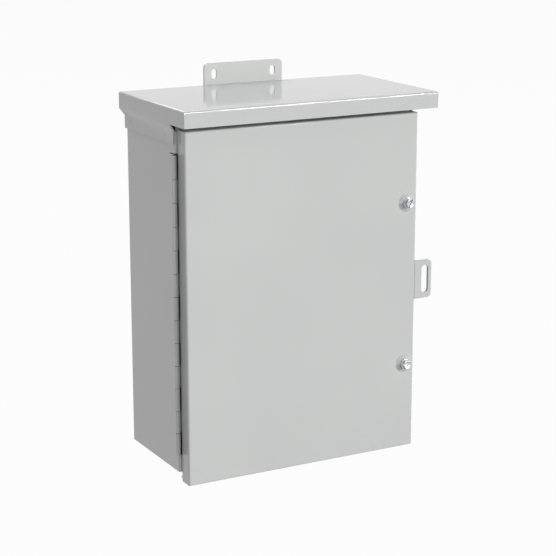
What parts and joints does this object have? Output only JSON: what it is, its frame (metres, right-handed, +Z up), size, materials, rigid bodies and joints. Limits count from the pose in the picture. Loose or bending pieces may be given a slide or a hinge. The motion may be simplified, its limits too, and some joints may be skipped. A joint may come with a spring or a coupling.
{
  "type": "electrical enclosure",
  "caption": "Wall-mounted rainproof steel enclosure with a drip hood, a hinged cover held by captive screws, a slotted padlock hasp and slotted wall brackets.",
  "frame": {"origin": "middle of the lower wall bracket's rear face, level with the body's bottom edge", "axes": "+Z up, +Y into the wall, so the door faces -Y; +X is right as seen from the front"},
  "size_m": [0.3295, 0.1741, 0.4628],
  "materials": {
    "grey_paint": "light grey semi-gloss powder coat",
    "zinc_plate": "bright zinc plating",
    "white_paint": "white semi-gloss powder coat",
    "brass": "plain brass"
  },
  "bodies": {
    "cabinet": {"body_wrapper": "grey_paint", "bottom_panel": "grey_paint", "drip_hood": "grey_paint", "top_header": "grey_paint", "upper_wall_bracket": "grey_paint", "lower_wall_bracket": "grey_paint", "hinge_body_leaf": "grey_paint", "hinge_pin": "zinc_plate", "body_staple": "grey_paint", "weld_nut_upper": "zinc_plate", "weld_nut_lower": "zinc_plate", "mounting_panel": "white_paint", "panel_studs": "zinc_plate", "panel_washers": "zinc_plate", "panel_nuts": "zinc_plate", "ground_stud": "brass", "ground_lug": "brass", "ground_nut": "brass"},
    "door": {"door": "grey_paint", "hinge_door_leaf": "grey_paint", "door_hasp": "grey_paint"},
    "washer_upper": {"screw_washer_upper": "zinc_plate"},
    "screw_upper": {"cover_screw_upper": "zinc_plate", "screw_retainer_upper": "zinc_plate"},
    "washer_lower": {"screw_washer_lower": "zinc_plate"},
    "screw_lower": {"cover_screw_lower": "zinc_plate", "screw_retainer_lower": "zinc_plate"}
  },
  "joints": [
    {"name": "door_swing", "type": "hinge", "parent": "cabinet", "child": "door", "pos_m": [-0.1514, -0.1326, 0.1907], "axis": [0, 0, -1], "range_deg": [0, 180]},
    {"name": "screw_upper_slide", "type": "slide", "parent": "door", "child": "washer_upper", "axis": [0, -1, 0], "range_m": [0, 0.0085]},
    {"name": "screw_upper_turn", "type": "hinge", "parent": "washer_upper", "child": "screw_upper", "pos_m": [0.13345, -0.155, 0.2844], "axis": [0, -1, 0], "range_deg": [0, 2900]},
    {"name": "screw_lower_slide", "type": "slide", "parent": "door", "child": "washer_lower", "axis": [0, -1, 0], "range_m": [0, 0.0085]},
    {"name": "screw_lower_turn", "type": "hinge", "parent": "washer_lower", "child": "screw_lower", "pos_m": [0.13345, -0.155, 0.0918], "axis": [0, -1, 0], "range_deg": [0, 2900]}
  ],
  "couplings": [
    {"joint": "screw_upper_turn", "follows": "screw_upper_slide", "rad_per_m": 5937.1},
    {"joint": "screw_lower_turn", "follows": "screw_lower_slide", "rad_per_m": 5937.1}
  ]
}
